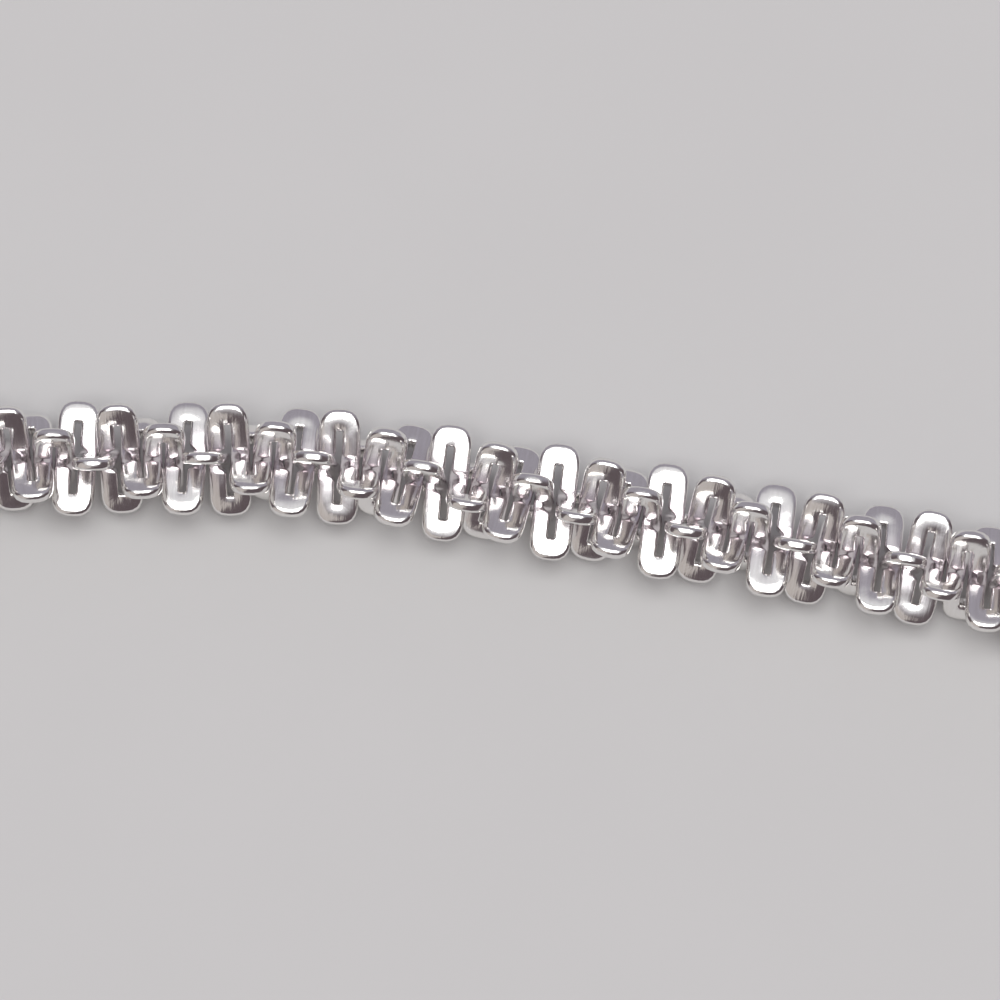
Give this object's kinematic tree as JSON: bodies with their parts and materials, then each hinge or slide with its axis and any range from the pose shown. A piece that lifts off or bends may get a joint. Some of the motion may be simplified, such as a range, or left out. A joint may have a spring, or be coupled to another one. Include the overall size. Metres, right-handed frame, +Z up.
{
  "type": "chain necklace",
  "caption": "Closed fine neck chain of flat interlocking petal-shaped links, laid flat in a loop and closed by a small spring-ring clasp.",
  "frame": {"origin": "on the surface that the necklace lies on, under the centre of its box", "axes": "+X from left to right along the loop's longer side, +Y from the clasp towards the middle of the chain, +Z up from the surface"},
  "size_m": [0.149, 0.1406, 0.003],
  "materials": {
    "chain_silver": "polished silver with fine brush lines",
    "clasp_silver": "polished silver"
  },
  "bodies": {
    "root": {"chain": "chain_silver", "clasp": "clasp_silver"}
  },
  "joints": []
}
